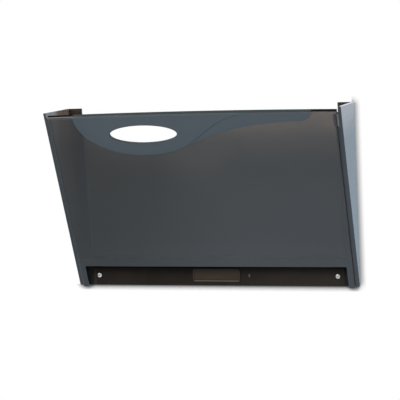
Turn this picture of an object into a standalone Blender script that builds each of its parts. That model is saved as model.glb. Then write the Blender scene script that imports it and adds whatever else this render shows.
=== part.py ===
# Hanging wall pocket for documents: a leaning smoke-tinted front panel carried by two wedge-shaped side walls.
# Metres, +Z up. X runs along the wall, the wall is the plane Y = 0 and the room is on the -Y side.
# The origin lies on the wall, midway between the two screws.

import math

import bmesh
import bpy
from mathutils import Matrix, Vector
from mathutils.geometry import interpolate_bezier

# Whole pocket
TOP_WIDTH = 0.330
SIDE_DRAFT = 0.0015
BACK_HEIGHT = 0.2045
FRONT_RISE = 0.0051
BOTTOM_DEPTH = 0.0034
DEPTH_GROWTH = 0.0713
SEAT_GAP = 0.0003
CUT_OVERRUN = 0.006
JOIN_DEPTH = 0.001

# Side walls
WALL_THICKNESS = 0.0025
FLANGE_THICKNESS = 0.0022
FLANGE_WIDTH = 0.0178
LIP_THICKNESS = 0.0022
LIP_WIDTH = 0.0075
SIDE_FRONT_ROUND = 0.0005
SIDE_BOTTOM_ROUND = 0.0015
LEDGE_WIDTH = 0.003
LEDGE_HEIGHT = 0.002

# Front panel
PANEL_THICKNESS = 0.0027
PANEL_BOTTOM_INSET = 0.005
PANEL_TOP_INSET = 0.0057
PANEL_DROP = 0.0035
PANEL_CROWN = 0.0016
PANEL_EDGE_ROUND = 0.0005
PANEL_CORNER_RADIUS = 0.0006
LEG_DROP = 0.0006
LEG_WIDTH = 0.0068
LEG_RADIUS = 0.0018
NOTCH_DROP = 0.0027
NOTCH_RADIUS = 0.0008
RIM_DEPTH = 0.0022
RIM_HEIGHT = 0.0034
RIM_EAR = 0.0011
RIB_DEPTH = 0.0025
RIB_EDGE_MARGIN = 0.0006
RIB_END_MARGIN = 0.0015

# Hand hole, in the panel's own plane
HAND_HOLE_SHARE = -0.3371
HAND_HOLE_DROP = 0.0228
HAND_HOLE_LENGTH = 0.0760
HAND_HOLE_WIDTH = 0.0212
HAND_HOLE_ROUND = 0.0011

# Matt relief, in the panel's own plane: shares are of half the panel's width, drops are from its top
BOWL_RAISE = 0.001
BOWL_EDGE_ROUND = 0.0008
WING_RAISE = 0.0005
WING_EDGE_ROUND = 0.0004
RELIEF_TOP_MARGIN = 0.0002
RELIEF_TOP_ROUND = 0.0024
BOWL_LEFT_SHARE = -0.826
BOWL_BOTTOM_SHARE = -0.339
BOWL_RIGHT_SHARE = 0.52
BOWL_DROP = 0.0484
BOWL_LOWER_PULL_SHARE = 0.46
BOWL_UPPER_PULL_SHARE = 0.48
WING_START_SHARE = -0.075
WING_START_DROP = 0.0414
WING_START_PULL_SHARE = 0.195
WING_START_RISE = 0.0165
WING_FOOT_SHARE = 0.763
WING_FOOT_DROP = 0.011
WING_FOOT_PULL_SHARE = 0.389
WING_END_RADIUS = 0.012
WING_END_SLOPE = 62

# Pocket floor
FLOOR_HEIGHT = 0.0280
FLOOR_THICKNESS = 0.0025

# Back rail
RAIL_THICKNESS = 0.0022
RAIL_EDGE_ROUND = 0.00015
TONGUE_THICKNESS = 0.001
TONGUE_LENGTH = 0.006
GATE_MARK_GAP = 0.0107
GATE_MARK_WIDTH = 0.0022
GATE_MARK_HEIGHT = 0.0042
GATE_MARK_RAISE = 0.0005

# Name plate
PLATE_WIDTH = 0.0550
PLATE_HEIGHT = 0.0142
PLATE_CENTRE_HEIGHT = 0.012
PLATE_THICKNESS = 0.0012
PLATE_CORNER_RADIUS = 0.0025
PLATE_FRAME_WIDTH = 0.0011
PLATE_FRAME_RAISE = 0.0005
PLATE_SEAT_DEPTH = 0.0008

# Wall screws
SCREW_INSET = 0.0079
SCREW_HEIGHT = 0.0115
SCREW_LENGTH = 0.022
SHANK_RADIUS = 0.0015
SCREW_POINT_LENGTH = 0.004
HEAD_RADIUS = 0.00275
HEAD_HEIGHT = 0.0019
HEAD_SIDE_HEIGHT = 0.0006
CROSS_LENGTH = 0.0032
CROSS_SLOT_WIDTH = 0.0008
CROSS_DEPTH = 0.0011
CROSS_TAPER_SHARE = 0.5
CROSS_TURN = 35
SCREW_HOLE_CLEARANCE = 0.00035

# Corner clip
CLIP_SIDE_GAP = 0.0008
CLIP_BAR_WIDTH = 0.0014
CLIP_FRONT = 0.0008
CLIP_SEAT_DEPTH = 0.0008
CLIP_LENGTH = 0.0149
CLIP_TOP_DROP = 0.0046
CLIP_WING_WIDTH = 0.0041

# Steps along curves
CORNER_STEPS = 4
CROWN_STEPS = 12
CURVE_STEPS = 20
END_STEPS = 8
ROUND_STEPS = 5
HOLE_STEPS = 48
RIM_STEPS = 4
TURN_STEPS = 24
DOME_STEPS = 5

SIDE_FRONT_HEIGHT = BACK_HEIGHT + FRONT_RISE
LEAN = math.atan2(DEPTH_GROWTH, SIDE_FRONT_HEIGHT)
FLANGE_INNER_X = TOP_WIDTH / 2 - FLANGE_WIDTH
PANEL_BACK = -SEAT_GAP
PANEL_FRONT = PANEL_BACK - PANEL_THICKNESS
PANEL_HEIGHT = math.hypot(DEPTH_GROWTH, SIDE_FRONT_HEIGHT) - PANEL_DROP
LIP_TOP = PANEL_HEIGHT - RIM_HEIGHT - SEAT_GAP
FLOOR_SLANT = (FLOOR_HEIGHT - SEAT_GAP) / math.cos(LEAN)
NOTCH_HEIGHT = FLOOR_SLANT - NOTCH_DROP
RAIL_TOP = FLOOR_HEIGHT - SEAT_GAP
SCREW_X = FLANGE_INNER_X - SCREW_INSET
CLIP_TOP = PANEL_HEIGHT - CLIP_TOP_DROP
CLIP_FOOT = CLIP_TOP - CLIP_LENGTH


def half_width(height):
    """Half the outer width of the pocket at a height above its bottom edge."""
    return TOP_WIDTH / 2 - SIDE_DRAFT * (1 - height / BACK_HEIGHT)


def front_depth(height):
    """Distance from the wall to the front plane of the lips at a height."""
    return BOTTOM_DEPTH + height * math.tan(LEAN)


def lean_point(inward, slant):
    """Depth and height of a point given in the panel's plane: inward from the lips' front, and up the slant."""
    y = -BOTTOM_DEPTH - slant * math.sin(LEAN) + inward * math.cos(LEAN)
    return y, slant * math.cos(LEAN) + inward * math.sin(LEAN)


def panel_edge(slant):
    """Half the width of the panel at a distance up the slant."""
    inset = PANEL_BOTTOM_INSET + (PANEL_TOP_INSET - PANEL_BOTTOM_INSET) * slant / PANEL_HEIGHT
    return half_width(slant * math.cos(LEAN)) - inset


def across(share):
    """A place across the panel, from a share of half its width."""
    return share * panel_edge(PANEL_HEIGHT)


def crown(x):
    """How far the arched top edge stands above its ends."""
    return PANEL_CROWN * (1 - (x / panel_edge(PANEL_HEIGHT)) ** 2)


def new_material(name, colour, roughness, metallic=0.0):
    material = bpy.data.materials.new(name)
    material.use_nodes = True
    shader = material.node_tree.nodes["Principled BSDF"]
    shader.inputs["Base Color"].default_value = (*colour, 1.0)
    shader.inputs["Roughness"].default_value = roughness
    shader.inputs["Metallic"].default_value = metallic
    material.diffuse_color = (*colour, 1.0)
    return material


def add_object(name, mesh_maker, parent, material=None):
    """Turns a bmesh into an object under the parent, with its faces turned outwards."""
    bmesh.ops.recalc_face_normals(mesh_maker, faces=mesh_maker.faces)
    mesh = bpy.data.meshes.new(name)
    mesh_maker.to_mesh(mesh)
    mesh_maker.free()
    obj = bpy.data.objects.new(name, mesh)
    bpy.context.collection.objects.link(obj)
    obj.parent = parent
    if material:
        mesh.materials.append(material)
    return obj


def loft(first, second):
    """A closed body between two outlines with the same number of points."""
    maker = bmesh.new()
    low = [maker.verts.new(point) for point in first]
    high = [maker.verts.new(point) for point in second]
    maker.faces.new(low)
    maker.faces.new(high)
    for i in range(len(low)):
        j = (i + 1) % len(low)
        maker.faces.new((low[i], low[j], high[j], high[i]))
    return maker


def plate_between(outline, first_y, second_y):
    """A flat plate from an outline of (x, z) points, between two depths."""
    return loft([(x, first_y, z) for x, z in outline], [(x, second_y, z) for x, z in outline])


def rounded_outline(corners):
    """Points of a closed outline whose corners (x, z, radius) are rounded by arcs."""
    points = []
    for i, (x, z, radius) in enumerate(corners):
        here = Vector((x, z))
        before = Vector(corners[i - 1][:2]) - here
        after = Vector(corners[(i + 1) % len(corners)][:2]) - here
        if not radius:
            points.append((x, z))
            continue
        half_angle = before.angle(after) / 2
        bisector = (before.normalized() + after.normalized()).normalized()
        centre = here + bisector * (radius / math.sin(half_angle))
        start = here + before.normalized() * (radius / math.tan(half_angle)) - centre
        end = here + after.normalized() * (radius / math.tan(half_angle)) - centre
        turn = start.angle_signed(end)
        first = math.atan2(start.y, start.x)
        for step in range(CORNER_STEPS + 1):
            angle = first - turn * step / CORNER_STEPS
            points.append((centre.x + radius * math.cos(angle), centre.y + radius * math.sin(angle)))
    return points


def boolean(obj, operation, other):
    """Cuts the helper from the object, or joins it on, and hides the helper."""
    other.hide_render = True
    other.display_type = "WIRE"
    modifier = obj.modifiers.new(operation.title(), "BOOLEAN")
    modifier.operation = operation
    modifier.solver = "EXACT"
    modifier.object = other


def bevel(obj, width, segments, angle):
    modifier = obj.modifiers.new("Bevel", "BEVEL")
    modifier.width = width
    modifier.segments = segments
    modifier.limit_method = "ANGLE"
    modifier.angle_limit = math.radians(angle)


def shade_smooth(obj, angle):
    obj.data.shade_smooth()
    obj.data.set_sharp_from_angle(angle=math.radians(angle))


def lean_onto_lips(obj):
    """Places an object whose own Y = 0 plane is the front of the lips."""
    obj.location = (0, -BOTTOM_DEPTH, 0)
    obj.rotation_euler = (LEAN, 0, 0)


# Side walls

def side_prism(side, profile, outer_inset, inner_x):
    """A solid from a side profile of (y, z) points, from the outer face less an inset to an inner limit."""
    outer = [(side * (half_width(z) - outer_inset), y, z) for y, z in profile]
    inner = [(side * inner_x(z), y, z) for y, z in profile]
    return loft(outer, inner)


def wedge_block(side):
    """The whole wedge between the wall and the lips' front plane, as deep as the back flange is wide."""
    top_depth = front_depth(SIDE_FRONT_HEIGHT)
    profile = [(0, 0), (-BOTTOM_DEPTH, 0), (-top_depth, SIDE_FRONT_HEIGHT), (0, BACK_HEIGHT)]
    maker = side_prism(side, profile, 0, lambda z: FLANGE_INNER_X)
    maker.edges.ensure_lookup_table()
    outer = [vert for vert in maker.verts if abs(vert.co.x) > FLANGE_INNER_X + WALL_THICKNESS]
    front = [e for e in maker.edges if all(v in outer and v.co.y < 0 for v in e.verts)]
    low = [e for e in maker.edges if all(v in outer and v.co.z == 0 for v in e.verts)]
    bmesh.ops.bevel(maker, geom=low, offset=SIDE_BOTTOM_ROUND, segments=CORNER_STEPS,
                    profile=0.5, affect="EDGES", clamp_overlap=True)
    front = [e for e in front if e.is_valid]
    bmesh.ops.bevel(maker, geom=front, offset=SIDE_FRONT_ROUND, segments=2,
                    profile=0.5, affect="EDGES", clamp_overlap=True)
    return maker


def inner_space(side):
    """What the wedge is hollowed by: behind the lip, in front of the flange, and over the lip's top end."""
    slope = math.tan(LEAN)
    lip_run = LIP_THICKNESS / math.cos(LEAN)
    apex = (FLANGE_THICKNESS + lip_run - BOTTOM_DEPTH) / slope
    top = SIDE_FRONT_HEIGHT + CUT_OVERRUN
    profile = [
        (-FLANGE_THICKNESS, apex),
        (-FLANGE_THICKNESS, top),
        (-front_depth(top) - CUT_OVERRUN, top),
        lean_point(-CUT_OVERRUN, LIP_TOP),
        lean_point(LIP_THICKNESS, LIP_TOP),
    ]
    return side_prism(side, profile, WALL_THICKNESS, lambda z: FLANGE_INNER_X - CUT_OVERRUN)


def lip_trim(side):
    """What lies inside the lip's inner edge, in front of the flange."""
    top = SIDE_FRONT_HEIGHT + CUT_OVERRUN
    reach = -front_depth(top) - CUT_OVERRUN
    profile = [(-FLANGE_THICKNESS, -CUT_OVERRUN), (reach, -CUT_OVERRUN), (reach, top), (-FLANGE_THICKNESS, top)]
    return side_prism(side, profile, LIP_WIDTH, lambda z: FLANGE_INNER_X - CUT_OVERRUN)


def lap_recess(side):
    """The step in the back of the flange that the rail's tongue fills."""
    outline = [
        (side * (FLANGE_INNER_X - CUT_OVERRUN), -CUT_OVERRUN),
        (side * (FLANGE_INNER_X + TONGUE_LENGTH), -CUT_OVERRUN),
        (side * (FLANGE_INNER_X + TONGUE_LENGTH), RAIL_TOP + SEAT_GAP),
        (side * (FLANGE_INNER_X - CUT_OVERRUN), RAIL_TOP + SEAT_GAP),
    ]
    return plate_between(outline, -TONGUE_THICKNESS - SEAT_GAP, CUT_OVERRUN)


def floor_ledge(side):
    """The rib inside the side wall that the pocket floor rests on."""
    top = FLOOR_HEIGHT - SEAT_GAP
    bottom = top - LEDGE_HEIGHT
    back = -FLANGE_THICKNESS + JOIN_DEPTH
    front = -front_depth(bottom) + JOIN_DEPTH
    profile = [(back, bottom), (front, bottom), (front, top), (back, top)]
    inner = WALL_THICKNESS + LEDGE_WIDTH
    return side_prism(side, profile, WALL_THICKNESS - JOIN_DEPTH, lambda z: half_width(z) - inner)


def clip_outer_x():
    """The clip's side that lies beside the side wall's plate."""
    return half_width(CLIP_FOOT * math.cos(LEAN)) - WALL_THICKNESS - CLIP_SIDE_GAP


def clip_inner_x():
    """The side of the clip's bar that faces the panel's edge."""
    return clip_outer_x() - CLIP_BAR_WIDTH


def clip_seat():
    """The shallow recess in the right lip's front that the corner clip lies in, closed at both ends."""
    outer = clip_outer_x() + SEAT_GAP
    inner = clip_inner_x() - CLIP_WING_WIDTH - SEAT_GAP
    low, high = CLIP_FOOT - SEAT_GAP, CLIP_TOP + SEAT_GAP
    outline = [(outer, low), (inner, low), (inner, high), (outer, high)]
    return plate_between(outline, -CUT_OVERRUN, CLIP_SEAT_DEPTH + SEAT_GAP)


def make_side_wall(name, side, parent):
    material = new_material(name, (0.045, 0.042, 0.040), 0.22)
    wall = add_object(name, wedge_block(side), parent, material)
    boolean(wall, "DIFFERENCE", add_object(name + "_inner_cut", inner_space(side), parent))
    boolean(wall, "DIFFERENCE", add_object(name + "_lip_cut", lip_trim(side), parent))
    boolean(wall, "DIFFERENCE", add_object(name + "_lap_cut", lap_recess(side), parent))
    boolean(wall, "UNION", add_object(name + "_ledge", floor_ledge(side), parent))
    if side > 0:
        seat = add_object(name + "_clip_seat", clip_seat(), parent)
        lean_onto_lips(seat)
        boolean(wall, "DIFFERENCE", seat)
    shade_smooth(wall, 30)
    return wall


# Front panel

def panel_outline():
    """The panel seen square on: legs, notch, small ears at the rim's ends, and arched top."""
    foot = -LEG_DROP
    rim_z = PANEL_HEIGHT - RIM_HEIGHT
    ear_x = panel_edge(rim_z) + RIM_EAR
    notch_x = panel_edge(0) - LEG_WIDTH
    right = [
        (notch_x, NOTCH_HEIGHT, NOTCH_RADIUS),
        (notch_x, foot, LEG_RADIUS),
        (panel_edge(foot), foot, LEG_RADIUS),
        (panel_edge(rim_z), rim_z, 0),
        (ear_x, rim_z, 0),
        (ear_x, PANEL_HEIGHT, PANEL_CORNER_RADIUS),
    ]
    inner_x = ear_x - PANEL_CORNER_RADIUS * 2
    arch = []
    for step in range(CROWN_STEPS + 1):
        x = inner_x * (1 - 2 * step / CROWN_STEPS)
        arch.append((x, PANEL_HEIGHT + crown(x), 0))
    left = [(-x, z, radius) for x, z, radius in reversed(right)]
    return rounded_outline(right + arch + left)


def rear_pocket():
    """What is cut from the panel's thick blank behind its face, below the top rim."""
    reach = panel_edge(PANEL_HEIGHT) + CUT_OVERRUN
    low, high = -LEG_DROP - CUT_OVERRUN, PANEL_HEIGHT - RIM_HEIGHT
    outline = [(-reach, low), (reach, low), (reach, high), (-reach, high)]
    return plate_between(outline, PANEL_BACK, PANEL_BACK + RIM_DEPTH + CUT_OVERRUN)


def floor_rib():
    """The rib behind the panel's lower edge, level on top, that carries the front of the floor."""
    half_length = half_width(FLOOR_HEIGHT) - LIP_WIDTH - RIB_END_MARGIN
    foot = NOTCH_HEIGHT + RIB_EDGE_MARGIN
    near, far = PANEL_BACK - JOIN_DEPTH, PANEL_BACK + RIB_DEPTH
    near_top, far_top = [FLOOR_SLANT - y * math.tan(LEAN) for y in (near, far)]
    section = [(near, foot), (far, foot), (far, far_top), (near, near_top)]
    return loft([(-half_length, y, z) for y, z in section], [(half_length, y, z) for y, z in section])


def hand_hole_cutter():
    """An oval plug that flares at both faces, so that the hole's rims come out rounded."""
    front = PANEL_FRONT - BOWL_RAISE
    back = PANEL_BACK
    rings = [(front - CUT_OVERRUN, HAND_HOLE_ROUND)]
    for step in range(RIM_STEPS + 1):
        angle = math.pi / 2 * step / RIM_STEPS
        rings.append((front + HAND_HOLE_ROUND * (1 - math.cos(angle)), HAND_HOLE_ROUND * (1 - math.sin(angle))))
    for step in range(RIM_STEPS + 1):
        angle = math.pi / 2 * step / RIM_STEPS
        rings.append((back - HAND_HOLE_ROUND * (1 - math.sin(angle)), HAND_HOLE_ROUND * (1 - math.cos(angle))))
    rings.append((back + CUT_OVERRUN, HAND_HOLE_ROUND))
    maker = bmesh.new()
    loops = []
    for y, flare in rings:
        loop = []
        for step in range(HOLE_STEPS):
            angle = 2 * math.pi * step / HOLE_STEPS
            x = across(HAND_HOLE_SHARE) + (HAND_HOLE_LENGTH / 2 + flare) * math.cos(angle)
            z = PANEL_HEIGHT - HAND_HOLE_DROP + (HAND_HOLE_WIDTH / 2 + flare) * math.sin(angle)
            loop.append(maker.verts.new((x, y, z)))
        loops.append(loop)
    for first, second in zip(loops, loops[1:]):
        for i in range(HOLE_STEPS):
            j = (i + 1) % HOLE_STEPS
            maker.faces.new((first[i], first[j], second[j], second[i]))
    maker.faces.new(loops[0])
    maker.faces.new(loops[-1])
    return maker


def relief_top(x):
    """The relief reaches all but to the panel's arched top edge."""
    return PANEL_HEIGHT + crown(x) - RELIEF_TOP_MARGIN


def curve_points(start, start_pull, end_pull, end):
    """Points of one Bezier curve in the panel's plane."""
    knots = [Vector((x, z, 0)) for x, z in (start, start_pull, end_pull, end)]
    return [(point.x, point.y) for point in interpolate_bezier(*knots, CURVE_STEPS)]


def top_points(from_x, to_x):
    """Points along the relief's top edge, which follows the panel's arch."""
    count = CURVE_STEPS // 2
    points = []
    for step in range(1, count):
        x = from_x + (to_x - from_x) * step / count
        points.append((x, relief_top(x)))
    return points


def bowl_outline():
    """The lobe round the hand hole: a quarter oval on the left and a drawn-out S curve on the right."""
    left_x, bottom_x, right_x = [across(share) for share in (BOWL_LEFT_SHARE, BOWL_BOTTOM_SHARE, BOWL_RIGHT_SHARE)]
    bottom_z = PANEL_HEIGHT - BOWL_DROP
    drop = relief_top(left_x) - bottom_z
    points = []
    for step in range(CURVE_STEPS):
        angle = math.pi / 2 * step / CURVE_STEPS
        points.append((bottom_x - (bottom_x - left_x) * math.cos(angle), relief_top(left_x) - drop * math.sin(angle)))
    points += curve_points(
        (bottom_x, bottom_z),
        (bottom_x + across(BOWL_LOWER_PULL_SHARE), bottom_z),
        (right_x - across(BOWL_UPPER_PULL_SHARE), relief_top(right_x)),
        (right_x, relief_top(right_x)),
    )
    return points + top_points(right_x, left_x)


def wing_outline():
    """The long lobe on the right, which grows out of the bowl and ends in a round, slanted corner."""
    start = (across(WING_START_SHARE), PANEL_HEIGHT - WING_START_DROP)
    foot = (across(WING_FOOT_SHARE), PANEL_HEIGHT - WING_FOOT_DROP)
    points = curve_points(
        start,
        (start[0] + across(WING_START_PULL_SHARE), start[1] + WING_START_RISE),
        (foot[0] - across(WING_FOOT_PULL_SHARE), foot[1]),
        foot,
    )
    slope = math.radians(WING_END_SLOPE)
    for step in range(1, END_STEPS + 1):
        angle = slope * step / END_STEPS
        x = foot[0] + WING_END_RADIUS * math.sin(angle)
        points.append((x, foot[1] + WING_END_RADIUS * (1 - math.cos(angle))))
    end_x = points[-1][0] + (relief_top(points[-1][0]) - points[-1][1]) / math.tan(slope)
    points.append((end_x, relief_top(end_x)))
    return points + top_points(end_x, start[0]) + [(start[0], relief_top(start[0]))]


def relief_body(outline, raise_height, edge_round):
    """A low pad with a rounded edge, rooted in the panel's face."""
    front = PANEL_FRONT - raise_height
    maker = plate_between(outline, PANEL_FRONT + JOIN_DEPTH, front)
    bmesh.ops.recalc_face_normals(maker, faces=maker.faces)
    rim = [edge for edge in maker.edges if all(abs(vert.co.y - front) < SEAT_GAP / 10 for vert in edge.verts)]
    bmesh.ops.bevel(maker, geom=rim, offset=edge_round, segments=2, profile=0.5, affect="EDGES")
    return maker


def relief_rounding(raise_height):
    """What is cut from a pad's front along the arch, so that it rolls over into the top of the rim."""
    front = PANEL_FRONT - raise_height
    arc = [(front - CUT_OVERRUN, -RELIEF_TOP_ROUND)]
    for step in range(ROUND_STEPS + 1):
        angle = math.pi / 2 * step / ROUND_STEPS
        y = front + RELIEF_TOP_ROUND * (1 - math.cos(angle))
        arc.append((y, RELIEF_TOP_ROUND * (math.sin(angle) - 1)))
    arc += [(arc[-1][0], CUT_OVERRUN), (front - CUT_OVERRUN, CUT_OVERRUN)]
    reach = panel_edge(PANEL_HEIGHT)
    maker = bmesh.new()
    rings = []
    for step in range(CROWN_STEPS + 1):
        x = reach * (1 - 2 * step / CROWN_STEPS)
        rings.append([maker.verts.new((x, y, relief_top(x) + z)) for y, z in arc])
    for first, second in zip(rings, rings[1:]):
        for i in range(len(arc)):
            j = (i + 1) % len(arc)
            maker.faces.new((first[i], first[j], second[j], second[i]))
    maker.faces.new(rings[0])
    maker.faces.new(rings[-1])
    return maker


def make_relief(name, outline, raise_height, edge_round, parent):
    pad = add_object(name, relief_body(outline, raise_height, edge_round), parent)
    boolean(pad, "DIFFERENCE", add_object(name + "_top_cut", relief_rounding(raise_height), parent))
    return pad


def make_front_panel(parent):
    material = new_material("front_panel", (0.058, 0.066, 0.075), 0.12)
    blank = plate_between(panel_outline(), PANEL_FRONT, PANEL_BACK + RIM_DEPTH)
    panel = add_object("front_panel", blank, parent, material)
    bevel(panel, PANEL_EDGE_ROUND, 2, 50)
    steps = (
        ("DIFFERENCE", add_object("panel_rear_cut", rear_pocket(), parent)),
        ("UNION", add_object("panel_floor_rib", floor_rib(), parent)),
        ("UNION", make_relief("panel_wing", wing_outline(), WING_RAISE, WING_EDGE_ROUND, parent)),
        ("UNION", make_relief("panel_bowl", bowl_outline(), BOWL_RAISE, BOWL_EDGE_ROUND, parent)),
        ("DIFFERENCE", add_object("panel_hand_hole", hand_hole_cutter(), parent)),
    )
    for operation, helper in steps:
        boolean(panel, operation, helper)
        for modifier in helper.modifiers:
            lean_onto_lips(modifier.object)
        lean_onto_lips(helper)
    lean_onto_lips(panel)
    shade_smooth(panel, 30)
    return panel


# Pocket floor

def floor_outline(height):
    """The floor seen from above at a height: notched round the flanges and the lips."""
    lip_back = -front_depth(height) + (LIP_THICKNESS + SEAT_GAP) / math.cos(LEAN)
    side_x = half_width(height) - WALL_THICKNESS - SEAT_GAP
    lip_x = half_width(height) - LIP_WIDTH - SEAT_GAP
    flange_x = FLANGE_INNER_X - SEAT_GAP
    flange_front = -FLANGE_THICKNESS - SEAT_GAP
    right = [
        (lip_x, -front_depth(height)),
        (lip_x, lip_back),
        (side_x, lip_back),
        (side_x, flange_front),
        (flange_x, flange_front),
        (flange_x, -SEAT_GAP),
    ]
    left = [(-x, y) for x, y in reversed(right)]
    return [(x, y, height) for x, y in right + left]


def make_pocket_floor(parent):
    material = new_material("pocket_floor", (0.030, 0.028, 0.027), 0.25)
    low = floor_outline(FLOOR_HEIGHT)
    high = floor_outline(FLOOR_HEIGHT + FLOOR_THICKNESS)
    return add_object("pocket_floor", loft(low, high), parent, material)


# Back rail

def rail_section():
    """The rail seen from above: a flat bar with a thin tongue at each end."""
    bar_x = FLANGE_INNER_X - SEAT_GAP
    tongue_x = FLANGE_INNER_X + TONGUE_LENGTH - SEAT_GAP
    right = [(tongue_x, 0), (tongue_x, -TONGUE_THICKNESS), (bar_x, -TONGUE_THICKNESS), (bar_x, -RAIL_THICKNESS)]
    return right + [(-x, y) for x, y in reversed(right)]


def plate_outline(margin):
    """The name plate's rounded outline, or with a margin the outline of its seat."""
    x = PLATE_WIDTH / 2 + margin
    radius = PLATE_CORNER_RADIUS + margin
    low = PLATE_CENTRE_HEIGHT - PLATE_HEIGHT / 2 - margin
    high = PLATE_CENTRE_HEIGHT + PLATE_HEIGHT / 2 + margin
    return rounded_outline([(-x, low, radius), (x, low, radius), (x, high, radius), (-x, high, radius)])


def screw_hole(side):
    maker = bmesh.new()
    radius = SHANK_RADIUS + SCREW_HOLE_CLEARANCE
    bmesh.ops.create_cone(maker, cap_ends=True, segments=TURN_STEPS, radius1=radius, radius2=radius,
                          depth=RAIL_THICKNESS + CUT_OVERRUN)
    bmesh.ops.rotate(maker, verts=maker.verts, matrix=Matrix.Rotation(math.pi / 2, 3, "X"))
    bmesh.ops.translate(maker, verts=maker.verts, vec=(side * SCREW_X, -RAIL_THICKNESS / 2, SCREW_HEIGHT))
    return maker


def gate_mark():
    """The small oval mark that moulding leaves on the rail's face."""
    maker = bmesh.new()
    bmesh.ops.create_uvsphere(maker, u_segments=12, v_segments=8, radius=1)
    bmesh.ops.scale(maker, verts=maker.verts, vec=(GATE_MARK_WIDTH / 2, GATE_MARK_RAISE, GATE_MARK_HEIGHT / 2))
    centre = (PLATE_WIDTH / 2 + GATE_MARK_GAP, -RAIL_THICKNESS, SCREW_HEIGHT)
    bmesh.ops.translate(maker, verts=maker.verts, vec=centre)
    return maker


def make_back_rail(parent):
    material = new_material("back_rail", (0.026, 0.022, 0.019), 0.3)
    section = rail_section()
    maker = loft([(x, y, 0) for x, y in section], [(x, y, RAIL_TOP) for x, y in section])
    rail = add_object("back_rail", maker, parent, material)
    bevel(rail, RAIL_EDGE_ROUND, 1, 50)
    seat = plate_between(plate_outline(SEAT_GAP), PLATE_SEAT_DEPTH - RAIL_THICKNESS, -RAIL_THICKNESS - CUT_OVERRUN)
    boolean(rail, "DIFFERENCE", add_object("rail_plate_seat", seat, parent))
    for side, name in ((-1, "left"), (1, "right")):
        boolean(rail, "DIFFERENCE", add_object("rail_hole_" + name, screw_hole(side), parent))
    boolean(rail, "UNION", add_object("rail_gate_mark", gate_mark(), parent))
    return rail


# Name plate

def make_name_plate(parent):
    """A bare plate with a raised frame, set in the rail's seat."""
    material = new_material("name_plate", (0.040, 0.030, 0.026), 0.35)
    back = PLATE_SEAT_DEPTH - RAIL_THICKNESS - SEAT_GAP
    front = back - PLATE_THICKNESS
    maker = plate_between(plate_outline(0), back, front)
    bmesh.ops.recalc_face_normals(maker, faces=maker.faces)
    face = min(maker.faces, key=lambda f: f.calc_center_median().y)
    bmesh.ops.inset_region(maker, faces=[face], thickness=PLATE_FRAME_WIDTH, depth=0, use_even_offset=True)
    bmesh.ops.inset_region(maker, faces=[face], thickness=PLATE_FRAME_RAISE, depth=-PLATE_FRAME_RAISE,
                           use_even_offset=True)
    return add_object("name_plate", maker, parent, material)


# Wall screws

def screw_profile():
    """Radius and depth down the screw's axis, from the top of its head to its point."""
    under = -RAIL_THICKNESS - SEAT_GAP
    dome = HEAD_HEIGHT - HEAD_SIDE_HEIGHT
    points = []
    for step in range(DOME_STEPS + 1):
        angle = math.pi / 2 * step / DOME_STEPS
        points.append((HEAD_RADIUS * math.sin(angle), under - HEAD_SIDE_HEIGHT - dome * math.cos(angle)))
    tip = under + SCREW_LENGTH
    return points + [(HEAD_RADIUS, under), (SHANK_RADIUS, under), (SHANK_RADIUS, tip - SCREW_POINT_LENGTH), (0, tip)]


def screw_body():
    maker = bmesh.new()
    verts = [maker.verts.new((radius, y, 0)) for radius, y in screw_profile()]
    edges = [maker.edges.new(pair) for pair in zip(verts, verts[1:])]
    bmesh.ops.spin(maker, geom=verts + edges, cent=(0, 0, 0), axis=(0, 1, 0), dvec=(0, 0, 0),
                   angle=2 * math.pi, steps=TURN_STEPS, use_merge=True)
    bmesh.ops.remove_doubles(maker, verts=maker.verts, dist=HEAD_RADIUS / 1000)
    return maker


def cross_recess():
    """The tapering cross that a driver fits, seen as a plus from the front."""
    top = -RAIL_THICKNESS - SEAT_GAP - HEAD_HEIGHT

    def plus(reach, half_slot, y):
        corners = [(half_slot, reach), (half_slot, half_slot), (reach, half_slot)]
        quarter = corners + [(reach, -half_slot), (half_slot, -half_slot), (half_slot, -reach)]
        return [(x, y, z) for x, z in quarter + [(-x, -z) for x, z in quarter]]

    reach, half_slot = CROSS_LENGTH / 2, CROSS_SLOT_WIDTH / 2
    wide = plus(reach, half_slot, top - CROSS_DEPTH)
    return loft(wide, plus(reach * CROSS_TAPER_SHARE, half_slot * CROSS_TAPER_SHARE, top + CROSS_DEPTH))


def make_wall_screw(name, side, parent):
    material = new_material(name, (0.62, 0.60, 0.58), 0.35, 1.0)
    screw = add_object(name, screw_body(), parent, material)
    cross = add_object(name + "_cross", cross_recess(), parent)
    for obj in (screw, cross):
        obj.location = (side * SCREW_X, 0, SCREW_HEIGHT)
        obj.rotation_euler = (0, math.radians(CROSS_TURN) * side, 0)
    boolean(screw, "DIFFERENCE", cross)
    shade_smooth(screw, 35)
    return screw


# Corner clip

def make_corner_clip(parent):
    """A strip in the groove beside the panel, with a thin wing that the panel holds in the lip's recess."""
    name = "corner_clip"
    material = new_material(name, (0.13, 0.125, 0.12), 0.25)
    outer, inner = clip_outer_x(), clip_inner_x()
    end, root = inner - CLIP_WING_WIDTH, (outer + inner) / 2
    bar = [(outer, CLIP_FOOT), (inner, CLIP_FOOT), (inner, CLIP_TOP), (outer, CLIP_TOP)]
    flap = [(end, CLIP_FOOT), (root, CLIP_FOOT), (root, CLIP_TOP), (end, CLIP_TOP)]
    clip = add_object(name, plate_between(bar, -CLIP_FRONT, CLIP_SEAT_DEPTH), parent, material)
    wing = add_object(name + "_wing", plate_between(flap, 0, CLIP_SEAT_DEPTH), parent)
    lean_onto_lips(clip)
    lean_onto_lips(wing)
    boolean(clip, "UNION", wing)
    return clip


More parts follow.
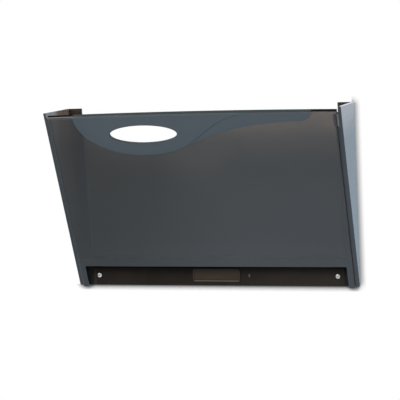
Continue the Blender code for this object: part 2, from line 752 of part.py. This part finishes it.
def main():
    for obj in list(bpy.data.objects):
        bpy.data.objects.remove(obj)
    origin = bpy.data.objects.new("pocket_origin", None)
    bpy.context.collection.objects.link(origin)
    origin.location = (0, 0, -SCREW_HEIGHT)
    make_front_panel(origin)
    make_pocket_floor(origin)
    make_back_rail(origin)
    make_name_plate(origin)
    for side, hand in ((-1, "left"), (1, "right")):
        make_side_wall(hand + "_side_wall", side, origin)
        make_wall_screw(hand + "_wall_screw", side, origin)
    make_corner_clip(origin)


main()
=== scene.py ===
# Smoke-tinted wall pocket for papers, screwed to a white wall.
# Metres. The wall is the plane Y = 0 and the room lies on the -Y side.

import math

import bpy
import bmesh
from mathutils import Matrix, Vector


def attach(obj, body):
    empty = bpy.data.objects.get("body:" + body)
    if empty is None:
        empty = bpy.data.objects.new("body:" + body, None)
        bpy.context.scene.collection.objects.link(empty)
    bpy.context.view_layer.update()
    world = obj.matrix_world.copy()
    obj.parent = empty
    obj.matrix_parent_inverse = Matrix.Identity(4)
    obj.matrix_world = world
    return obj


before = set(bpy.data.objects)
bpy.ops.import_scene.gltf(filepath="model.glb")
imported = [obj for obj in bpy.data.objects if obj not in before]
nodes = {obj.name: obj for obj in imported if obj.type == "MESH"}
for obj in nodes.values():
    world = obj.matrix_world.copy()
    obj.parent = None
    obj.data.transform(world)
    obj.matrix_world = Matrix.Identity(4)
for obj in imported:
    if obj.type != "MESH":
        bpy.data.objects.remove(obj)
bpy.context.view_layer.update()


# One value in a material, so that arithmetic on it reads as arithmetic
class Wire:
    def __init__(self, recipe, socket):
        self.recipe = recipe
        self.socket = socket

    def maths(self, operation, *values):
        return self.recipe.add("Math", {"operation": operation}, dict(enumerate(values)))

    def __add__(self, other):
        return self.maths("ADD", self, other)

    def __radd__(self, other):
        return self.maths("ADD", other, self)

    def __sub__(self, other):
        return self.maths("SUBTRACT", self, other)

    def __rsub__(self, other):
        return self.maths("SUBTRACT", other, self)

    def __mul__(self, other):
        return self.maths("MULTIPLY", self, other)

    def __rmul__(self, other):
        return self.maths("MULTIPLY", other, self)

    def __lt__(self, other):
        return self.maths("LESS_THAN", self, other)

    def __gt__(self, other):
        return self.maths("GREATER_THAN", self, other)

    def __pow__(self, other):
        return self.maths("POWER", self, other)

    def __abs__(self):
        return self.maths("ABSOLUTE", self)

    def bigger(self, other):
        return self.maths("MAXIMUM", self, other)

    def smaller(self, other):
        return self.maths("MINIMUM", self, other)

    def part(self, letter):
        return self.recipe.add("SeparateXYZ", {}, {0: self}, letter)

    def ramp(self, low, high, first=0.0, last=1.0):
        ends = {"From Min": low, "From Max": high, "To Min": first, "To Max": last}
        return self.recipe.add("MapRange", {"interpolation_type": "SMOOTHSTEP"}, {"Value": self, **ends})


# The nodes of one material: add() makes any node, the other methods make the common ones
class Recipe:
    def __init__(self, name):
        self.material = bpy.data.materials.new(name)
        self.material.use_nodes = True
        self.tree = self.material.node_tree
        self.tree.nodes.clear()

    def add(self, kind, settings=None, values=None, output=0):
        node = self.tree.nodes.new("ShaderNode" + kind)
        for key, value in (settings or {}).items():
            setattr(node, key, value)
        for key, value in (values or {}).items():
            if isinstance(value, Wire):
                self.tree.links.new(value.socket, node.inputs[key])
            elif isinstance(value, tuple) and len(value) == 3 and node.inputs[key].type == "RGBA":
                node.inputs[key].default_value = (*value, 1)
            else:
                node.inputs[key].default_value = value
        return Wire(self, node.outputs[output])

    def place(self):
        return self.add("TexCoord", {}, {}, "Object")

    def along(self, where, direction):
        return self.add("VectorMath", {"operation": "DOT_PRODUCT"}, {0: where, 1: direction}, "Value")

    def noise(self, where, scale, detail):
        return self.add("TexNoise", {}, {"Vector": where, "Scale": scale, "Detail": detail}, "Fac")

    def stretched(self, where, scale):
        return self.add("Mapping", {}, {"Vector": where, "Scale": scale})

    def blend(self, amount, first, second):
        return self.add("Mix", {"data_type": "RGBA"}, {0: amount, 6: first, 7: second}, 2)

    def bump(self, height, strength, distance):
        return self.add("Bump", {}, {"Height": height, "Strength": strength, "Distance": distance})

    def ray(self, kind):
        return self.add("LightPath", {}, {}, kind)

    def skin(self, values):
        return self.add("BsdfPrincipled", {}, values)

    def layer(self, amount, first, second):
        return self.add("MixShader", {}, {0: amount, 1: first, 2: second})

    def finish(self, shader):
        output = self.tree.nodes.new("ShaderNodeOutputMaterial")
        self.tree.links.new(shader.socket, output.inputs["Surface"])
        return self.material


def dress(name, material):
    mesh = nodes[name].data
    mesh.materials.clear()
    mesh.materials.append(material)


def deselectAll():
    bpy.ops.object.select_all(action="DESELECT")


deselectAll()

# Camera, matched to the edges of the pocket in the photograph
cameraPlace = {
    "location": (0.494754, -1.727286, 0.415898),
    "turn": 0.2868,
    "tilt": -0.181,
    "roll": -0.061,
    "lens": 146.88,
    "sensor": 36,
    "nearest": 0.05,
    "farthest": 50,
}


def makeCamera(spec):
    bpy.ops.object.camera_add(location=spec["location"])
    camera = bpy.context.object
    camera.name = "studioCamera"
    turn = Matrix.Rotation(spec["turn"], 3, "Z")
    tilt = Matrix.Rotation(math.pi / 2 + spec["tilt"], 3, "X")
    roll = Matrix.Rotation(spec["roll"], 3, "Z")
    camera.rotation_euler = (turn @ tilt @ roll).to_euler()
    camera.data.sensor_width = spec["sensor"]
    camera.data.lens = spec["lens"]
    camera.data.clip_start = spec["nearest"]
    camera.data.clip_end = spec["farthest"]
    bpy.context.scene.camera = camera


makeCamera(cameraPlace)
print("camera done")

# Studio: a white wall that curves into a pale floor, a soft key from the upper left, a weak fill
backdropShape = {
    "wallGap": 0.0006,
    "floorHeight": -0.75,
    "size": 6.0,
    "wallHeight": 3.0,
    "coveRadius": 0.25,
    "coveSegments": 16,
    "slack": 0.01,
}
# The contact shadow lies right of the pocket and under it. A pair is where a change starts and ends
wallPaper = {
    "colour": (0.84, 0.86, 0.88),
    "shown": (1, 1, 1),
    "mirrored": (0.645, 0.81, 0.955),
    "contactReach": 0.0074,
    "contactLean": (-1.0, -1.0, 0.9),
    "contactSamples": 16,
    "rightShade": (0.1615, 0.1635),
    "underShade": (-0.0105, -0.0125),
    "deepShade": (0.1655, 0.1585),
    "rightDepth": 1.65,
    "underDepth": 6.0,
}
# The sheet is what glossy plastic sees of the floor: where it changes, and how bright it is at both ends
floorPaper = {
    "colour": (0.30, 0.345, 0.39),
    "mirrored": (0.84, 0.92, 1.0),
    "sheetAcross": (-0.52, -0.20, 1.10, 1.71),
    "sheetLeftEnd": (-0.59, -0.70, 0.0, 0.85),
    "sheetCorner": (-0.485, -0.50, 0.0, 0.25),
    "sheetCornerDeep": (-0.655, -0.635),
    "sheetDeep": (-0.96, -0.78, 0.66, 0.86),
    "sheetByWall": (-0.70, -0.665, 0.0, 0.12),
}
keyLight = {
    "name": "keyLight",
    "location": (-1.1, -1.9, 1.45),
    "size": 0.9,
    "power": 34,
    "colour": (1.0, 0.985, 0.96),
}
fillLight = {
    "name": "fillLight",
    "location": (1.9, -1.5, 0.9),
    "size": 1.4,
    "power": 14,
    "colour": (0.93, 0.97, 1.0),
}
lightTarget = (0, 0, 0.1)
studioSky = {"colour": (0.93, 0.965, 1.0), "strength": 0.5}


# Lit paper for the light that it gives, white with a contact shadow for what looks at it, and unseen
# from behind
def contactPaper(spec):
    paint = Recipe("backdropPaper")
    lit = paint.add("BsdfDiffuse", {}, {"Color": spec["colour"]})
    lean = tuple(Vector(spec["contactLean"]).normalized())
    reach = {"Distance": spec["contactReach"], "Normal": lean}
    near = paint.add("AmbientOcclusion", {"samples": spec["contactSamples"]}, reach, "AO")
    place = paint.place()
    right = place.part("X").ramp(*spec["rightShade"])
    under = place.part("Z").ramp(*spec["underShade"])
    near = 1 - (1 - near) * right.bigger(under)
    camera = paint.ray("Is Camera Ray")
    deeper = under * place.part("X").ramp(*spec["deepShade"])
    depth = spec["rightDepth"] + deeper * (spec["underDepth"] - spec["rightDepth"])
    colour = paint.blend(camera, spec["mirrored"], spec["shown"])
    shown = paint.add("Emission", {}, {"Color": colour, "Strength": near ** (camera * depth)})
    looked = camera.bigger(paint.ray("Is Glossy Ray") * (1 - paint.ray("Is Transmission Ray")))
    behind = paint.add("NewGeometry", {}, {}, "Backfacing")
    clear = paint.add("BsdfTransparent")
    return paint.finish(paint.layer(behind, paint.layer(looked, lit, shown), clear))


# The floor lies below the picture: plain lit paper, which mirrors as a sheet that grows brighter to the
# right and at its left end, unseen from below
def mirroredPaper(spec):
    paint = Recipe("floorPaper")
    dull = paint.add("BsdfDiffuse", {}, {"Color": spec["colour"]})
    place = paint.place()
    across, deep = place.part("X"), place.part("Y")
    glow = across.ramp(*spec["sheetAcross"]) + across.ramp(*spec["sheetLeftEnd"])
    glow = glow + across.ramp(*spec["sheetCorner"]) * deep.ramp(*spec["sheetCornerDeep"])
    glow = glow * (deep.ramp(*spec["sheetDeep"]) + deep.ramp(*spec["sheetByWall"]))
    sheet = paint.add("Emission", {}, {"Color": spec["mirrored"], "Strength": glow})
    glossy = paint.ray("Is Glossy Ray") * (1 - paint.ray("Is Transmission Ray"))
    beneath = paint.add("NewGeometry", {}, {}, "Backfacing")
    clear = paint.add("BsdfTransparent")
    return paint.finish(paint.layer(beneath, paint.layer(glossy, dull, sheet), clear))


def selectEdges(obj, wanted):
    bpy.ops.mesh.select_all(action="DESELECT")
    work = bmesh.from_edit_mesh(obj.data)
    for edge in work.edges:
        edge.select_set(all(wanted(vert.co) for vert in edge.verts))
    bmesh.update_edit_mesh(obj.data)


def makeBackdrop(spec):
    low, wall = spec["floorHeight"], spec["wallGap"]
    bpy.ops.mesh.primitive_plane_add(size=spec["size"], location=(0, wall - spec["size"] / 2, low))
    backdrop = bpy.context.object
    backdrop.name = "backdrop"
    bpy.ops.object.transform_apply(location=True, rotation=False, scale=False)
    bpy.ops.object.mode_set(mode="EDIT")
    bpy.ops.mesh.select_mode(type="EDGE")
    selectEdges(backdrop, lambda point: point.y > wall - spec["slack"])
    bpy.ops.mesh.extrude_region_move(TRANSFORM_OT_translate={"value": (0, 0, spec["wallHeight"])})
    selectEdges(backdrop, lambda point: point.y > wall - spec["slack"] and point.z < low + spec["slack"])
    bpy.ops.mesh.bevel(offset=spec["coveRadius"], segments=spec["coveSegments"], affect="EDGES")
    bpy.ops.object.mode_set(mode="OBJECT")
    bpy.ops.object.shade_smooth()
    backdrop.data.materials.append(contactPaper(wallPaper))
    backdrop.data.materials.append(mirroredPaper(floorPaper))
    for face in backdrop.data.polygons:
        face.material_index = int(face.center.z < low + spec["coveRadius"] / 2)


def makeLight(spec):
    bpy.ops.object.light_add(type="AREA", location=spec["location"])
    light = bpy.context.object
    light.name = spec["name"]
    light.data.size = spec["size"]
    light.data.energy = spec["power"]
    light.data.color = spec["colour"]
    aim = Vector(lightTarget) - Vector(spec["location"])
    light.rotation_euler = aim.to_track_quat("-Z", "Y").to_euler()


def makeSky(spec):
    world = bpy.data.worlds.new("studioSky")
    bpy.context.scene.world = world
    world.use_nodes = True
    sky = world.node_tree.nodes["Background"]
    sky.inputs["Color"].default_value = (*spec["colour"], 1)
    sky.inputs["Strength"].default_value = spec["strength"]


makeBackdrop(backdropShape)
makeSky(studioSky)
makeLight(keyLight)
makeLight(fillLight)
bpy.context.scene.view_settings.view_transform = "Standard"
print("studio done")

plasticIor = 1.49
shadowRoughness = 0.6

# The panel's plane: its lean, and the point where the front of the lips starts
panelPlane = {"lean": math.radians(18.78685), "foot": (0, -0.0034, -0.0115)}


def fromFoot(paint, place, direction):
    start = sum(a * b for a, b in zip(panelPlane["foot"], direction))
    return paint.along(place, direction) - start


# Distance behind the lips' front: less than zero in the panel
def behindLips(paint, place):
    lean = panelPlane["lean"]
    return fromFoot(paint, place, (0, math.cos(lean), math.sin(lean)))


def upPanel(paint, place):
    lean = panelPlane["lean"]
    return fromFoot(paint, place, (0, -math.sin(lean), math.cos(lean)))


# Front panel: polished smoke plastic whose raised lobes are matt.
# A pair is where a change starts and ends: behind the lips (Depth), below the top edge (Drop),
# up the slant (Rise) or along X (Across). Cloud, grain and streak are noises, by scale and detail
frontPanel = {
    "height": 0.217895,
    "arch": 0.0016,
    "archHalf": 0.15931,
    "smoke": (0.133, 0.118, 0.103),
    "topGlowSmoke": (0.178, 0.143, 0.120),
    "glowDrop": (0.036, 0.011),
    "cornerGlowSmoke": (0.222, 0.177, 0.148),
    "glowCornerAcross": (0.125, 0.158),
    "roughness": 0.06,
    "clearness": 0.85,
    "mirrorTint": (0.85, 0.94, 1.0),
    "frost": (0.065, 0.084, 0.098),
    "frostDepth": (-0.00305, -0.0032),
    "frostRoughness": 0.42,
    "frostClearness": 0.3,
    "shadeBehind": (0.022, 0.021, 0.020),
    "denseRise": (0.044, 0.034),
    "denseDeepShare": 0.85,
    "cloud": (9, 3),
    "cloudRange": (0.3, 0.7),
    "cloudShare": 0.12,
    "cloudTint": (0.05, 0.055, 0.06),
    "grain": (1400, 2),
    "grainRoughness": 0.08,
    "grainBump": (0.25, 0.0002),
    "streakScale": (60, 8, 8),
    "streak": (3, 2),
    "streakRoughness": 0.05,
    "lobesFrom": -0.131,
    "lobesTo": 0.1335,
    "topFaceDrop": (0.0003, 0.0001),
    "lobesTopDrop": 0.0005,
    "rolledDrop": (0.0018, 0.0005),
    "rolledShare": 0.55,
    "lowStepDepth": (-0.00306, -0.00311),
    "lowStepEndDepth": (-0.00347, -0.0034),
    "highStepDepth": (-0.00354, -0.00358),
    "highStepEndDepth": (-0.00398, -0.00394),
    "stepDrop": (0.0026, 0.003),
    "stepShare": 0.6,
    "notchHalf": 0.1512,
    "notchRise": (0.0273, 0.0270),
    "shadow": (0.012, 0.012, 0.013),
    "lobesShadow": (0.055, 0.065, 0.068),
    "shadowRoughness": 0.5,
    "glint": (0.30, 0.30, 0.30),
    "glintRoughness": 0.3,
    "glintDrop": (0.0014, 0.0008),
    "glintAcross": (-0.129, -0.132),
    "glintShare": 0.8,
}


def smokePanel(spec):
    paint = Recipe("polishedSmokePanel")
    place = paint.place()
    across = place.part("X")
    depth = behindLips(paint, place)
    rise = upPanel(paint, place)
    share = across * (1 / spec["archHalf"])
    drop = spec["height"] + spec["arch"] * (1 - share * share) - rise
    cloud = paint.noise(place, *spec["cloud"]).ramp(*spec["cloudRange"])
    grain = paint.noise(place, *spec["grain"])
    streak = paint.noise(paint.stretched(place, spec["streakScale"]), *spec["streak"])
    clouded = cloud * spec["cloudShare"]
    # Polished plastic with a painted glow: warmer and brighter towards the top right, standing in for light
    # from the pocket's mouth seen through it
    top = paint.blend(across.ramp(*spec["glowCornerAcross"]), spec["topGlowSmoke"], spec["cornerGlowSmoke"])
    smoke = paint.blend(drop.ramp(*spec["glowDrop"]), spec["smoke"], top)
    gloss = {
        "Roughness": spec["roughness"] + streak * spec["streakRoughness"],
        "IOR": plasticIor,
        "Specular Tint": spec["mirrorTint"],
    }
    polished = paint.skin({
        **gloss,
        "Base Color": paint.blend(clouded, smoke, spec["cloudTint"]),
        "Transmission Weight": spec["clearness"],
    })
    # The lobes
    matt = paint.skin({
        **gloss,
        "Base Color": paint.blend(clouded, spec["frost"], spec["cloudTint"]),
        "Roughness": spec["frostRoughness"] + grain * spec["grainRoughness"],
        "Transmission Weight": spec["frostClearness"],
        "Normal": paint.bump(grain, *spec["grainBump"]),
    })
    # Painted shade: where the floor and its rib lie behind, the panel turns opaque and dark, standing in for
    # the shaded floor seen through it
    deep = tuple(part * spec["denseDeepShare"] for part in spec["shadeBehind"])
    shadeBehind = paint.skin({**gloss, "Base Color": paint.blend(cloud, spec["shadeBehind"], deep)})
    body = paint.layer(depth.ramp(*spec["frostDepth"]), polished, matt)
    body = paint.layer(rise.ramp(*spec["denseRise"]), body, shadeBehind)
    # Left of the lobes the rim has a painted highlight: a pale line where its rounded edge would catch the
    # key light
    pale = paint.skin({"Base Color": spec["glint"], "Roughness": spec["glintRoughness"]})
    glint = across.ramp(*spec["glintAcross"], 0.0, spec["glintShare"]) * drop.ramp(*spec["glintDrop"])
    body = paint.layer(glint, body, pale)
    # Painted shade: the rim's top is all but black, its rounding over the lobes is darkened, each step of the
    # lobes is a fine dark line, and so is the notch's edge
    fromLobes = across > spec["lobesFrom"]
    lobes = fromLobes * (across < spec["lobesTo"])
    topFace = (drop - fromLobes * spec["lobesTopDrop"]).ramp(*spec["topFaceDrop"])
    rolled = lobes * drop.ramp(*spec["rolledDrop"]) * spec["rolledShare"]
    lowStep = depth.ramp(*spec["lowStepDepth"]) * depth.ramp(*spec["lowStepEndDepth"])
    highStep = depth.ramp(*spec["highStepDepth"]) * depth.ramp(*spec["highStepEndDepth"])
    step = (lowStep + highStep) * drop.ramp(*spec["stepDrop"]) * spec["stepShare"]
    notch = (abs(across) < spec["notchHalf"]) * rise.ramp(*spec["notchRise"])
    black = paint.skin({
        "Base Color": paint.blend(lobes, spec["shadow"], spec["lobesShadow"]),
        "Roughness": spec["shadowRoughness"],
        "Specular IOR Level": 0.0,
    })
    dark = topFace.bigger(rolled).bigger(step).bigger(notch)
    return paint.finish(paint.layer(dark, body, black))


dress("front_panel", smokePanel(frontPanel))
print("front panel done")

# Side walls and floor: the same plastic, a little browner
smokeTexture = {
    "cloud": (12, 3),
    "cloudRange": (0.3, 0.7),
    "deepShare": 0.8,
    "streakScale": (8, 8, 70),
    "streak": (3, 2),
    "streakRoughness": 0.06,
    "ripple": (40, 1),
    "rippleBump": (0.04, 0.001),
}
# The floor is the same smoke plastic, painted far darker than the walls as painted shade inside the pocket
pocketFloor = {"smoke": (0.03, 0.028, 0.026), "roughness": 0.3, "clearness": 0.5, "gloss": 0.1}
# A pair is where a change starts and ends: behind the lips (Depth), up (Height), below the upper
# edge (Drop), towards the wall (Back) or away from the middle (Across)
sideWalls = {
    "smoke": (0.26, 0.205, 0.17),
    "roughness": 0.08,
    "clearness": 0.9,
    "gloss": 0.5,
    "lip": (0.021, 0.022, 0.023),
    "litLipTop": (0.031, 0.034, 0.037),
    "lipDepth": (0.0011, 0.0005),
    "lipHeight": (-0.01, 0.13),
    "bareAcross": (0.1585, 0.1593),
    "foot": (0.026, 0.0262, 0.028),
    "footHeight": (0.0167, 0.0157),
    "footBack": (-0.0031, -0.0027),
    "footHalf": 0.160,
    "paintedSheen": (0.33, 0.25, 0.22),
    "sheenHeight": (0.156, 0.193),
    "sheenDepth": (0.0012, 0.0020),
    "outerAcross": (0.1629, 0.1635),
    "edge": (0.85, 0.85, 0.87),
    "edgeDrop": (0.0010, 0.0005),
    "edgeBackHeight": 0.1930,
    "edgeSlope": 0.0715,
}


def smokeValues(paint, place, spec, texture):
    cloud = paint.noise(place, *texture["cloud"])
    streak = paint.noise(paint.stretched(place, texture["streakScale"]), *texture["streak"])
    deep = tuple(part * texture["deepShare"] for part in spec["smoke"])
    return {
        "Base Color": paint.blend(cloud.ramp(*texture["cloudRange"]), spec["smoke"], deep),
        "Roughness": spec["roughness"] + streak * texture["streakRoughness"],
        "IOR": plasticIor,
        "Specular IOR Level": spec["gloss"],
        "Transmission Weight": spec["clearness"],
        "Normal": paint.bump(paint.noise(place, *texture["ripple"]), *texture["rippleBump"]),
    }


def smokeFloor(spec):
    paint = Recipe("floorSmoke")
    return paint.finish(paint.skin(smokeValues(paint, paint.place(), spec, smokeTexture)))


def smokeWall(name, spec):
    paint = Recipe(name)
    place = paint.place()
    across, back, up = [place.part(letter) for letter in "XYZ"]
    depth = behindLips(paint, place)
    clear = smokeValues(paint, place, spec, smokeTexture)
    solid = {**clear, "Transmission Weight": 0.0}
    # The lips' fronts look solid; painted light makes them paler towards the top where the panel leaves them
    # bare, and they stay darker, as painted shade, where the panel covers them
    bare = abs(across).ramp(*spec["bareAcross"]) * up.ramp(*spec["lipHeight"])
    front = paint.skin({
        **solid,
        "Base Color": paint.blend(bare, spec["lip"], spec["litLipTop"]),
        "Specular Tint": frontPanel["mirrorTint"],
    })
    body = paint.layer(depth.ramp(*spec["lipDepth"]), paint.skin(clear), front)
    # The outer face has a painted sheen, a painted reflection of the white wall that grows towards its top,
    # and its upper edge has a pale painted highlight
    drop = spec["edgeBackHeight"] - spec["edgeSlope"] * back - up
    edge = drop.ramp(*spec["edgeDrop"])
    paintedSheen = paint.skin({**solid, "Base Color": paint.blend(edge, spec["paintedSheen"], spec["edge"])})
    outer = across.ramp(*spec["outerAcross"]) * depth.ramp(*spec["sheenDepth"])
    body = paint.layer(outer * up.ramp(*spec["sheenHeight"]).bigger(edge), body, paintedSheen)
    # The flange's foot lies in the shade of the slot
    foot = up.ramp(*spec["footHeight"]) * back.ramp(*spec["footBack"]) * (abs(across) < spec["footHalf"])
    shade = paint.skin({"Base Color": spec["foot"], "Roughness": shadowRoughness, "Specular IOR Level": 0.0})
    return paint.finish(paint.layer(foot, body, shade))


for wallName in ("left_side_wall", "right_side_wall"):
    dress(wallName, smokeWall(wallName.replace("_", "") + "Smoke", sideWalls))
dress("pocket_floor", smokeFloor(pocketFloor))
print("walls and floor done")

# Satin plastic of the rail, the plate and the clip
satinTexture = {
    "patchScale": (1, 1, 2),
    "patch": (22, 3),
    "patchRange": (0.35, 0.7),
    "grainDetail": 2,
    "grainRoughness": 0.12,
    "grainBump": (0.12, 0.0002),
}


def satinPlastic(paint, place, spec, recolour=None):
    patch = paint.noise(paint.stretched(place, satinTexture["patchScale"]), *satinTexture["patch"])
    grain = paint.noise(place, spec["grain"], satinTexture["grainDetail"])
    colour = paint.blend(patch.ramp(*satinTexture["patchRange"]), spec["brown"], spec["worn"])
    return paint.skin({
        "Base Color": recolour(paint, place, colour) if recolour else colour,
        "Roughness": spec["roughness"] + grain * satinTexture["grainRoughness"],
        "IOR": plasticIor,
        "Specular IOR Level": spec["gloss"],
        "Normal": paint.bump(grain, *satinTexture["grainBump"]),
    })


# Back rail: dark brown, with painted light making it lighter at both ends, and the small mark of its mould.
# It sinks into painted shade under the panel's edge, which starts at the slot's height and fades downwards
backRail = {
    "brown": (0.0165, 0.0125, 0.0095),
    "worn": (0.0225, 0.0175, 0.014),
    "roughness": 0.42,
    "gloss": 0.08,
    "grain": 900,
    "paintedLightEnd": (0.044, 0.036, 0.029),
    "rightEnd": (-0.03, 0.12, 0.0, 0.5),
    "leftEnd": (-0.1415, -0.1455, 0.0, 0.6),
    "shade": (0.0015, 0.0015, 0.0015),
    "slotHeight": (0.0074, 0.0098),
    "fadingHeight": (-0.0095, 0.0098, 0.0, 0.32),
    "mark": (0.12, 0.11, 0.10),
    "markPlace": (0.0382, -0.0022, 0),
    "markWidth": 0.0011,
    "markHeight": 0.0021,
    "markEdge": (1.1, 0.8),
}


# Painted light on the rail's ends, and the real mark of its mould
def railEndsLightAndMark(paint, place, colour):
    ends = place.part("X").ramp(*backRail["rightEnd"]) + place.part("X").ramp(*backRail["leftEnd"])
    colour = paint.blend(ends, colour, backRail["paintedLightEnd"])
    off = paint.add("VectorMath", {"operation": "SUBTRACT"}, {0: place, 1: backRail["markPlace"]}, "Vector")
    across = off.part("X") * (1 / backRail["markWidth"])
    up = off.part("Z") * (1 / backRail["markHeight"])
    return paint.blend((across * across + up * up).ramp(*backRail["markEdge"]), colour, backRail["mark"])


def railBrown(spec):
    paint = Recipe("railBrown")
    place = paint.place()
    up = place.part("Z")
    shine = satinPlastic(paint, place, spec, railEndsLightAndMark)
    shade = paint.skin({"Base Color": spec["shade"], "Roughness": shadowRoughness, "Specular IOR Level": 0.0})
    dark = up.ramp(*spec["slotHeight"]).bigger(up.ramp(*spec["fadingHeight"]))
    return paint.finish(paint.layer(dark, shine, shade))


# Name plate: painted light and shade bring out its raised frame, which is painted a little lighter than its
# face with a painted shadow line along its inner edge, and its lower edge has a painted highlight from the
# floor's light.
# A pair is where a change starts and ends, inwards from the plate's edge or up from its middle
namePlate = {
    "brown": (0.040, 0.029, 0.019),
    "worn": (0.050, 0.037, 0.026),
    "roughness": 0.38,
    "gloss": 0.12,
    "grain": 900,
    "half": (0.0275, 0.0071),
    "middle": 0.0005,
    "frame": (0.046, 0.036, 0.027),
    "frameInward": (0.0012, 0.0010),
    "groove": (0.012, 0.009, 0.007),
    "grooveInward": (0.0018, 0.0015),
    "grooveShare": 0.7,
    "lowerEdge": (0.16, 0.15, 0.12),
    "lowerEdgeUp": (-0.0060, -0.0066),
}


def plateFrame(paint, place, colour):
    halfAcross, halfUp = namePlate["half"]
    up = place.part("Z") - namePlate["middle"]
    inward = (halfAcross - abs(place.part("X"))).smaller(halfUp - abs(up))
    groove = inward.ramp(*namePlate["grooveInward"]) * namePlate["grooveShare"]
    shown = paint.blend(groove, colour, namePlate["groove"])
    shown = paint.blend(inward.ramp(*namePlate["frameInward"]), shown, namePlate["frame"])
    return paint.blend(up.ramp(*namePlate["lowerEdgeUp"]), shown, namePlate["lowerEdge"])


def plateBrown(spec):
    paint = Recipe("plateBrown")
    return paint.finish(satinPlastic(paint, paint.place(), spec, plateFrame))


dress("back_rail", railBrown(backRail))
dress("name_plate", plateBrown(namePlate))
print("rail and plate done")

# Corner clip: satin grey plastic
cornerClip = {
    "brown": (0.20, 0.19, 0.175),
    "worn": (0.24, 0.225, 0.21),
    "roughness": 0.3,
    "gloss": 0.5,
    "grain": 1400,
}


def clipGrey(spec):
    paint = Recipe("clipGrey")
    return paint.finish(satinPlastic(paint, paint.place(), spec))


dress("corner_clip", clipGrey(cornerClip))
print("corner clip done")

# Wall screws: zinc-plated steel
wallScrew = {
    "steel": (0.57, 0.555, 0.53),
    "dull": (0.44, 0.43, 0.41),
    "patch": (420, 3),
    "patchRange": (0.4, 0.65),
    "patchBump": (0.08, 0.0002),
    "roughness": 0.42,
    "patchRoughness": 0.15,
}


def platedSteel(name, spec):
    paint = Recipe(name)
    patch = paint.noise(paint.place(), *spec["patch"])
    return paint.finish(paint.skin({
        "Base Color": paint.blend(patch.ramp(*spec["patchRange"]), spec["steel"], spec["dull"]),
        "Metallic": 1.0,
        "Roughness": spec["roughness"] + patch * spec["patchRoughness"],
        "Normal": paint.bump(patch, *spec["patchBump"]),
    }))


# Thread on each screw's shank, a three-cornered ridge wound behind the rail
screwThread = {
    "across": 0.1393,
    "rootRadius": 0.00152,
    "ridge": 0.0003,
    "start": 0.0008,
    "pitch": 0.0011,
    "turns": 12,
    "steps": 18,
    "mergeDistance": 0.00001,
    "smoothAngle": 40,
}


def makeThread(spec):
    bpy.ops.mesh.primitive_circle_add(
        vertices=3, radius=spec["ridge"], rotation=(0, 0, -math.pi / 2), location=(spec["rootRadius"], 0, 0)
    )
    thread = bpy.context.object
    bpy.ops.object.transform_apply(location=True, rotation=True, scale=True)
    winding = thread.modifiers.new("winding", "SCREW")
    winding.axis = "Y"
    winding.screw_offset = spec["pitch"]
    winding.iterations = spec["turns"]
    winding.steps = winding.render_steps = spec["steps"]
    winding.use_merge_vertices = False
    bpy.ops.object.modifier_apply(modifier="winding")
    bpy.ops.object.mode_set(mode="EDIT")
    bpy.ops.mesh.select_all(action="SELECT")
    bpy.ops.mesh.remove_doubles(threshold=spec["mergeDistance"])
    bpy.ops.mesh.select_all(action="DESELECT")
    bpy.ops.mesh.select_mode(type="EDGE")
    bpy.ops.mesh.select_non_manifold()
    bpy.ops.mesh.fill()
    bpy.ops.mesh.select_all(action="SELECT")
    bpy.ops.mesh.normals_make_consistent(inside=False)
    bpy.ops.transform.translate(value=(-spec["across"], spec["start"], 0))
    bpy.ops.object.mode_set(mode="OBJECT")
    bpy.ops.object.shade_smooth_by_angle(angle=math.radians(spec["smoothAngle"]))
    return thread


def copyThread(thread, shift):
    deselectAll()
    thread.select_set(True)
    bpy.ops.object.duplicate()
    other = bpy.context.object
    bpy.ops.object.mode_set(mode="EDIT")
    bpy.ops.mesh.select_all(action="SELECT")
    bpy.ops.transform.translate(value=(shift, 0, 0))
    bpy.ops.object.mode_set(mode="OBJECT")
    return other


leftThread = makeThread(screwThread)
leftThread.name = "leftScrewThread"
rightThread = copyThread(leftThread, 2 * screwThread["across"])
rightThread.name = "rightScrewThread"
for screwName, thread in (("left_wall_screw", leftThread), ("right_wall_screw", rightThread)):
    steel = platedSteel(screwName.replace("_", "") + "Steel", wallScrew)
    dress(screwName, steel)
    thread.data.materials.append(steel)
    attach(thread, "root")
deselectAll()
print("screws done")
